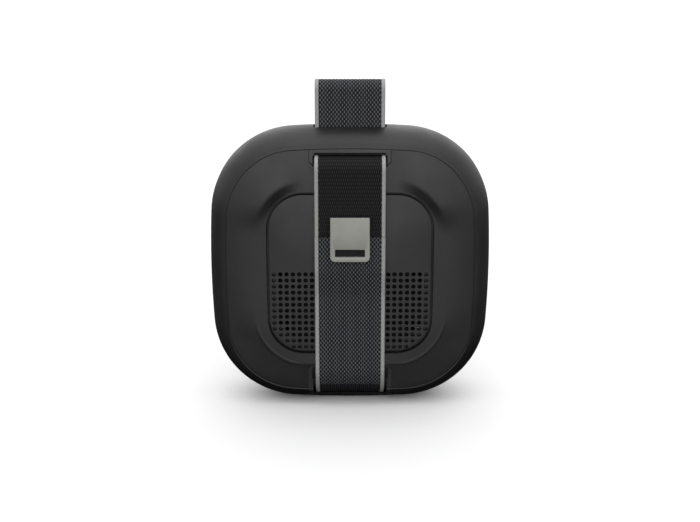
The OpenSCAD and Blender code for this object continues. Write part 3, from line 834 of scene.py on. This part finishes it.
def plate_with_holes(name, outer, holes, profile, hole_profile, smooth=35):
    """A flat plate. outer(inset) and each hole(grow) give rings; a profile lists (inset, z)
    from the top face's edge, down the wall, to the bottom face's edge."""
    verts, faces, loops_top, loops_low = [], [], [], []
    for ring_of, prof in [(outer, profile)] + [(h, hole_profile) for h in holes]:
        first, n = len(verts), len(ring_of(0))
        for inset, z in prof:
            verts += [(x, y, z) for x, y in ring_of(inset)]
        faces += [tuple(first + i for i in f) for f in tube_faces(len(prof), n, caps=False)]
        loops_top.append((first, n, ring_of(prof[0][0])))
        loops_low.append((first + (len(prof) - 1) * n, n, ring_of(prof[-1][0])))
    for loops in (loops_top, loops_low):
        flat, edges, index, owner = [], [], [], []
        for k, (first, n, ring) in enumerate(loops):
            at = len(flat)
            flat += [Vector(p) for p in ring]
            index += [first + i for i in range(n)]
            owner += [k] * n
            edges += [(at + i, at + (i + 1) % n) for i in range(n)]
        _, _, triangles, origin, _, _ = delaunay_2d_cdt(flat, edges, [], 1, 1e-5)
        for t in triangles:
            corners = [origin[i][0] for i in t]
            rings = {owner[i] for i in corners}
            if len(rings) > 1 or rings == {0}:
                faces.append(tuple(index[i] for i in corners))
    return new_object(name, verts, faces, smooth)


VENT_PITCH = 2.18


def build_vent_panel():
    def outer(inset):
        return square_ring(27.88 - inset, 11.85 - inset)

    def hole(col, row):
        return lambda grow: circle(0.75 + grow, 18, (col * VENT_PITCH, -row * VENT_PITCH))

    holes = [hole(c, r) for r in range(13) for c in range(-12, 13) if abs(c) <= 12 - max(0, r - 9)]
    z = PANEL_Z
    profile = [(0.24, z), (0.14, z - 0.03), (0.05, z - 0.1), (0.0, z - 0.24), (0.0, z - 1.6)]
    hole_profile = [(0.04, z), (0.0, z - 0.05), (0.0, z - 1.6)]
    panel = plate_with_holes("perforated_panel", outer, holes, profile, hole_profile)
    finish_piece(panel, "vent", "speaker", "vent_panel")


def build_bottom_channel():
    """Curved floor of the channel under the strap, painted near black as painted shade in the channel."""
    (cy, cz), r = BEND, BEND_R - STRAP_T - 0.2
    section = [(-13.3, r - 0.9), (13.3, r - 0.9), (13.3, r - 0.1), (13.1, r), (-13.1, r), (-13.3, r - 0.1)]
    verts = []
    steps = 30
    for i in range(steps + 1):
        a = math.radians(-2.0 - 88.0 * i / steps)
        verts += [(x, cy + q * math.sin(a), cz + q * math.cos(a)) for x, q in section]
    tray = new_object("strap_channel", verts, tube_faces(steps + 1, len(section)), 30)
    finish_piece(tray, "bezel", "speaker", "bottom_slot_bezel")
    # painted shade: the channel floor gets the near-black paint
    paint(tray, LOOKS["painted_shade"])


def build_slot_painted_shade():
    """Near-black wall behind the upper strap where it dives into its slot: painted shade for the shade
    inside the slot.
    """
    painted_shade = box_prism("slot_painted_shade", -12.9, 12.9, 40.72, 41.9, 5.5, 10.3)
    finish_piece(painted_shade, "bezel", "speaker")
    paint(painted_shade, LOOKS["painted_shade"])


# ---------------------------------------------------------------- strap

def trace(parts, step=0.22):
    """Stations (y, z, normal y, normal z, length) of a path in the strap's side view.
    A part is ("line", start, end, normal) or ("arc", centre, radius, from, to); a negative
    radius bends towards the outer face."""
    stations = []
    run = 0.0
    for part in parts:
        if part[0] == "line":
            _, (y0, z0), (y1, z1), normal = part
            length = math.hypot(y1 - y0, z1 - z0)
            n = max(2, round(length / step))
            made = [(y0 + (y1 - y0) * i / n, z0 + (z1 - z0) * i / n, *normal, run + length * i / n)
                    for i in range(n + 1)]
        else:
            _, (cy, cz), r, a0, a1 = part
            a0, a1 = math.radians(a0), math.radians(a1)
            length = abs((a1 - a0) * r)
            n = max(4, round(length / step))
            made = []
            for i in range(n + 1):
                a = a0 + (a1 - a0) * i / n
                made.append((cy + r * math.sin(a), cz + r * math.cos(a), math.sin(a), math.cos(a),
                             run + length * i / n))
        run += length
        stations += made[1:] if stations else made
    return stations


def ribbon(name, stations, half, thick, relief, across, closed=False):
    """Woven middle of a strap. relief(u, s) raises its outer face; the inner face is flat."""
    us = np.linspace(-half, half, across)
    back = np.linspace(half, -half, 7)
    verts, uvs = [], []
    for y, z, ny, nz, s in stations:
        for u, h in zip(us, relief(us, s)):
            verts.append((u, y + ny * h, z + nz * h))
            uvs.append((u, s))
        for u in back:
            verts.append((u, y - ny * thick, z - nz * thick))
            uvs.append((u, s))
    count = across + len(back)
    return new_object(name, verts, tube_faces(len(stations), count, closed), 60, uvs)


def trim_pair(name, stations, thick, closed=False, proud=0.10):
    """The two smooth rounded selvages of a strap, in one mesh."""
    w, h = TRIM_W + 0.1, thick + 2 * proud
    section = rounded_rect(w, h, 0.42, 5)
    verts, uvs, faces = [], [], []
    for side in (-1, 1):
        first = len(verts)
        mid = side * (STRAP_HALF - w / 2)
        for y, z, ny, nz, s in stations:
            notch = 0.06 * math.cos(2 * PI * s / COARSE_PITCH[1])
            for a, b in section:
                lift = b - thick / 2
                across = a + (notch if a * side < 0 else 0)
                verts.append((mid + across, y + ny * lift, z + nz * lift))
                uvs.append((mid + a, s))
        tube = tube_faces(len(stations), len(section), closed)
        faces += [tuple(first + i for i in face) for face in tube]
    return new_object(name, verts, faces, 50, uvs)


def weave_relief(pitch, depth):
    def relief(u, s):
        return -depth * np.cos(2 * PI * u / pitch[0]) * math.cos(2 * PI * s / pitch[1]) - depth
    return relief


def rib_relief(u, s):
    return 0.06 * np.cos(2 * PI * u / RIB_PITCH) - 0.06


MID_HALF = STRAP_HALF - TRIM_W - 0.02


def build_tail():
    parts = [("line", (8.5, 14.65), (35.8, 14.65), (0, 1)),
             ("arc", (35.8, 9.85), 4.8, 0, 90),
             ("line", (40.6, 9.85), (40.6, 6.5), (1, 0))]
    stations = trace(parts, 0.2)
    web = ribbon("upper_strap_weave", stations, MID_HALF, STRAP_T, weave_relief(FINE_PITCH, 0.05), 150)
    trims = trim_pair("upper_strap_trims", stations, STRAP_T)
    finish_piece(web, "tail_weave", None, "tail_webbing", "tail_root")
    finish_piece(trims, "trim", None, "tail_trims")
    lift_top(web)
    lift_top(trims)
    for piece in (web, trims):
        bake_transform(piece)


LOWER_END, LOWER_Z = 13.7, 16.1


def settle(y, z, low, bend_r, slope):
    """Path parts that ease a strap down from height z at y to height low."""
    a = math.radians(slope)
    run = (z - low - 2 * bend_r * (1 - math.cos(a))) / math.sin(a)
    y1, z1 = y - bend_r * math.sin(a), z - bend_r * (1 - math.cos(a))
    y2, z2 = y1 - run * math.cos(a), z1 - run * math.sin(a)
    end = y2 - bend_r * math.sin(a)
    return [("arc", (y, z - bend_r), bend_r, 0, -slope),
            ("line", (y1, z1), (y2, z2), (-math.sin(a), math.cos(a))),
            ("arc", (end, low + bend_r), -bend_r, -slope, 0)], end


def build_lower_strap():
    low = BEND[1] + BEND_R
    eased, end = settle(3.0, LOWER_Z, low, 15.0, 10.0)
    parts = [("line", (LOWER_END, LOWER_Z), (3.0, LOWER_Z), (0, 1))] + eased
    parts += [("line", (end, low), (BEND[0], low), (0, 1)), ("arc", BEND, BEND_R, 0, -32)]
    relief = weave_relief(COARSE_PITCH, 0.10)
    web = ribbon("lower_strap_weave", trace(parts, 0.22), MID_HALF, STRAP_T, relief, 150)
    finish_piece(web, "coarse_weave", None, "lower_webbing")
    trims = trim_pair("lower_strap_trims", trace(parts, 0.27), STRAP_T)
    finish_piece(trims, "trim", None, "lower_trims")
    # a near-black strip at the lower strap's upper end: painted shadow along that end
    end_shadow = box_prism("lower_strap_end_painted_shadow", -10.6, 10.6, LOWER_END - 0.02, LOWER_END + 0.4, 15.02, 15.95)
    paint(end_shadow, LOOKS["painted_shade"])
    for piece in (web, trims, end_shadow):
        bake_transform(piece)
    band = trace([("arc", BEND, BEND_R - 0.12, -30.5, -92)], 0.3)
    root = ribbon("strap_band", band, MID_HALF, STRAP_T - 0.15, rib_relief, 150)
    paint(root, LOOKS["band"])
    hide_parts("lower_root")
    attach(root, "speaker")
    ends = trim_pair("strap_band_trims", trace([("arc", BEND, BEND_R, -32.3, -84)], 0.27), STRAP_T)
    finish_piece(ends, "trim", "speaker")


LOOP_TOP = 61.75
LOOP_LOW = 46.0
LOOP_R = 3.3
LOOP_MID = -2.4


def build_loop():
    near, far = LOOP_MID + LOOP_R, LOOP_MID - LOOP_R
    parts = [("line", (LOOP_LOW, near), (LOOP_TOP, near), (0, 1)),
             ("arc", (LOOP_TOP, LOOP_MID), LOOP_R, 0, 180),
             ("line", (LOOP_TOP, far), (LOOP_LOW, far), (0, -1)),
             ("arc", (LOOP_LOW, LOOP_MID), LOOP_R, 180, 360)]
    stations = trace(parts, 0.22)[:-1]
    web = ribbon("loop_weave", stations, MID_HALF, STRAP_T, weave_relief(COARSE_PITCH, 0.08), 140, True)
    finish_piece(web, "coarse_weave", None, "loop_webbing", "loop_root")
    trims = trim_pair("loop_edge_trims", stations, STRAP_T, True)
    finish_piece(trims, "trim", None, "loop_trims")
    for piece in (web, trims):
        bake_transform(piece)


# ---------------------------------------------------------------- hook and keys

def hook_outline(inset):
    """Square top corners, sides that widen slightly low down, rounded lower corners."""
    w, wide, low, top = 6.66 - inset, 6.72 - inset, 5.5 + inset, 20.8 - inset
    tip, r = 0.3, max(0.2, 1.6 - inset)
    corner = [(w - tip + tip * math.cos(a), top - tip + tip * math.sin(a))
              for a in (i * PI / 8 for i in range(5))]
    side = [(w, 14.6), (wide, 13.4)]
    side += [(wide - r + r * math.cos(a), low + r - r * math.sin(a))
             for a in (i * PI / 16 for i in range(9))]
    return corner + [(-x, y) for x, y in corner[::-1] + side] + side[::-1]


def build_hook():
    back, face = 16.4, 17.4

    def window(grow):
        return rounded_rect(10.1 + 2 * grow, 2.65 + 2 * grow, 0.3 + grow, 4, (0, 8.5))[::-1]

    profile = [(0.24, face), (0.13, face - 0.02), (0.04, face - 0.1), (0, face - 0.24), (0, back + 0.12),
               (0.12, back)]
    hole_profile = [(0.16, face), (0.05, face - 0.05), (0, face - 0.16), (0, back)]
    tab = plate_with_holes("hook_plate", hook_outline, [window], profile, hole_profile, smooth=30)
    nose = prism("hook_nose", [(16.95, 14.9), (17.25, 14.8), (18.1, 14.9), (18.25, 15.4), (18.25, 16.5),
                               (16.95, 16.5)], -3.8, 3.8, lambda p: (p[2], p[0], p[1]))
    # a near-black plate seen through the hook's window: painted shade behind the window
    window_shade_pad = box_prism("hook_window_painted_shade", -5.6, 5.6, 6.6, 13.0, 16.2, 16.38, 0.3)
    finish_piece(window_shade_pad, "bezel", "hook")
    paint(window_shade_pad, LOOKS["painted_shade"])
    finish_piece(tab, "hook", "hook", "hook_tab")
    finish_piece(nose, "hook", "hook")


def domed_key(name, length, to_face):
    """A stadium key with a soft crown and a side skirt."""
    rings = [(0.0, -2.4), (0.0, 0.25), (0.12, 0.43), (0.35, 0.54), (0.75, 0.6), (1.3, 0.62), (1.9, 0.6),
             (2.3, 0.59)]
    verts = []
    for inset, z in rings:
        verts += [to_face((x, y, z)) for x, y in stadium(length - 2 * inset, KEY_W - 2 * inset)]
    return new_object(name, verts, tube_faces(len(rings), len(verts) // len(rings)), 40)


def symbol_parts(kind):
    """Flat outlines of a key's raised mark."""
    if kind == "plus":
        return [[(-0.25, -1.1), (0.25, -1.1), (0.25, -0.25), (1.1, -0.25), (1.1, 0.25), (0.25, 0.25),
                 (0.25, 1.1), (-0.25, 1.1), (-0.25, 0.25), (-1.1, 0.25), (-1.1, -0.25), (-0.25, -0.25)]]
    if kind == "minus":
        return [[(-1.1, -0.25), (1.1, -0.25), (1.1, 0.25), (-1.1, 0.25)]]
    if kind == "play":
        return [[(-0.8, -1.0), (1.0, 0.0), (-0.8, 1.0)]]
    if kind == "dots":
        return [circle(0.3, 16, (x, 0)) for x in (-1.1, 0.0, 1.1)]
    return [[(0.75 * math.cos(a), 0.75 * math.sin(a)) for a in np.linspace(0, 2 * PI, 28, endpoint=False)]]


def build_keys():
    for body, node, side, along, length, kind in KEYS:
        to_face = key_frame(KEY_TILT, side, along)
        key = domed_key(body + "_key", length, to_face)
        finish_piece(key, "keys", body, node)
        stem = prism(body + "_stem", circle(1.0, 20), -2.85, -2.3, to_face)
        finish_piece(stem, "keys", body)
        for i, outline in enumerate(symbol_parts(kind)):
            mark = prism(f"{body}_mark_{i}", outline, 0.5, 0.72, to_face)
            finish_piece(mark, "keys", body)


# ---------------------------------------------------------------- stage

ELEVATION = math.radians(15.4)
DISTANCE = 432.7
AIM_Z = 53.46


def build_camera():
    data = bpy.data.cameras.new("camera")
    data.sensor_fit = "HORIZONTAL"
    data.sensor_width = 36.0
    data.lens = 64.99
    data.clip_start, data.clip_end = 0.01, 20.0
    camera = bpy.data.objects.new("camera", data)
    aim = Vector((0, -PANEL_Z * MM, AIM_Z * MM))
    back = Vector((0, -math.cos(ELEVATION), math.sin(ELEVATION)))
    camera.location = aim + back * DISTANCE * MM
    camera.rotation_mode = "QUATERNION"
    camera.rotation_quaternion = (-back).to_track_quat("-Z", "Y")
    bpy.context.scene.collection.objects.link(camera)
    bpy.context.scene.camera = camera


def studio_ramp(tree, value, low, high, stops):
    """Grey levels over one direction component, from low to high."""
    shift = tree.nodes.new("ShaderNodeMapRange")
    for key, v in zip(("From Min", "From Max", "To Min", "To Max"), (low, high, 0, 1)):
        shift.inputs[key].default_value = v
    tree.links.new(value, shift.inputs["Value"])
    ramp = tree.nodes.new("ShaderNodeValToRGB")
    tree.links.new(shift.outputs["Result"], ramp.inputs["Fac"])
    elements = ramp.color_ramp.elements
    while len(elements) < len(stops):
        elements.new(0.5)
    for element, (at, v) in zip(elements, stops):
        element.position = at
        element.color = (v, v, v, 1)
    return ramp.outputs["Color"]


def mix(tree, kind, first, second, share):
    node = tree.nodes.new("ShaderNodeMixRGB")
    node.blend_type = kind
    for socket, v in zip(("Color1", "Color2", "Fac"), (first, second, share)):
        if isinstance(v, (float, tuple)):
            node.inputs[socket].default_value = v
        else:
            tree.links.new(v, node.inputs[socket])
    return node.outputs["Color"]


# brightness by the height of the direction, from straight down to straight up
UPWARD = [(0.0, 0.04), (0.12, 0.06), (0.2, 0.17), (0.27, 0.20), (0.32, 0.37), (0.37, 0.60),
          (0.5, 0.95), (0.62, 1.12), (0.75, 1.05), (0.9, 0.85), (1.0, 0.70)]
# and by how far it turns to a side, above the horizon and below it
SIDE_HIGH = [(0.0, 1.0), (0.35, 0.92), (0.75, 0.5), (1.0, 0.35)]
SIDE_LOW = [(0.0, 1.0), (0.15, 0.95), (0.3, 0.80), (0.5, 0.56), (0.75, 0.36), (1.0, 0.25)]
WORLD_STRENGTH = 1.64


def build_world():
    """Bright above and ahead, dim below and to the sides, so that the shell's relief shows."""
    world = bpy.data.worlds.new("studio")
    world.use_nodes = True
    tree = world.node_tree
    background = tree.nodes["Background"]
    coords = tree.nodes.new("ShaderNodeTexCoord")
    parts = tree.nodes.new("ShaderNodeSeparateXYZ")
    tree.links.new(coords.outputs["Generated"], parts.inputs[0])
    upward = studio_ramp(tree, parts.outputs["Z"], -1, 1, UPWARD)
    aside = tree.nodes.new("ShaderNodeMath")
    aside.operation = "ABSOLUTE"
    tree.links.new(parts.outputs["X"], aside.inputs[0])
    sideways = studio_ramp(tree, aside.outputs[0], 0, 1, SIDE_HIGH)
    gain = studio_ramp(tree, parts.outputs["Z"], -0.65, -0.25, [(0.0, 5.0), (1.0, 1.0)])
    wide = mix(tree, "MULTIPLY", aside.outputs[0], gain, 1.0)
    lowered = studio_ramp(tree, wide, 0, 1, SIDE_LOW)
    height = studio_ramp(tree, parts.outputs["Z"], -0.15, 0.3, [(0.0, 0.0), (1.0, 1.0)])
    sideways = mix(tree, "MIX", lowered, sideways, height)
    behind = studio_ramp(tree, parts.outputs["Y"], -0.3, 0.3, [(0.0, 0.0), (1.0, 1.0)])
    low = studio_ramp(tree, parts.outputs["Z"], -0.2, 0.15, [(0.0, 1.0), (1.0, 0.0)])
    shadow = mix(tree, "MULTIPLY", behind, low, 1.0)
    lit = mix(tree, "MULTIPLY", upward, sideways, 1.0)
    shaded = mix(tree, "MULTIPLY", lit, (0.08, 0.08, 0.08, 1), shadow)
    tree.links.new(shaded, background.inputs["Color"])
    background.inputs["Strength"].default_value = WORLD_STRENGTH
    bpy.context.scene.world = world


def area_light(name, at, target, size, power):
    data = bpy.data.lights.new(name, "AREA")
    data.shape = "RECTANGLE"
    data.size, data.size_y = size
    data.energy = power
    light = bpy.data.objects.new(name, data)
    light.location = at
    light.rotation_mode = "QUATERNION"
    light.rotation_quaternion = (Vector(target) - Vector(at)).to_track_quat("-Z", "Y")
    bpy.context.scene.collection.objects.link(light)


def build_stage():
    size = 6.0
    mesh = bpy.data.meshes.new("studio_floor")
    corners = [(-size, -size, 0), (size, -size, 0), (size, size, 0), (-size, size, 0)]
    mesh.from_pydata(corners, [], [(0, 1, 2, 3)])
    floor = bpy.data.objects.new("studio_floor", mesh)
    floor.location = (0, 0, -0.0001)
    bpy.context.scene.collection.objects.link(floor)
    look = Look("floor_paint", (0.95, 0.95, 0.95), 1.0, Specular_IOR_Level=0.0)
    paint(floor, look.mat)
    floor.visible_diffuse = False
    floor.visible_glossy = False
    area_light("overhead_softbox", (0, -0.1, 0.9), (0, 0, 0.05), (1.0, 0.7), 1.0)
    scene = bpy.context.scene
    scene.view_settings.view_transform = "Standard"
    scene.view_settings.look = "None"


build_camera()
build_world()
build_stage()
paint_cad_nodes()
build_jacket()
build_back_plate()
build_vent_panel()
build_bottom_channel()
build_slot_painted_shade()
build_tail()
build_lower_strap()
build_loop()
build_hook()
build_keys()
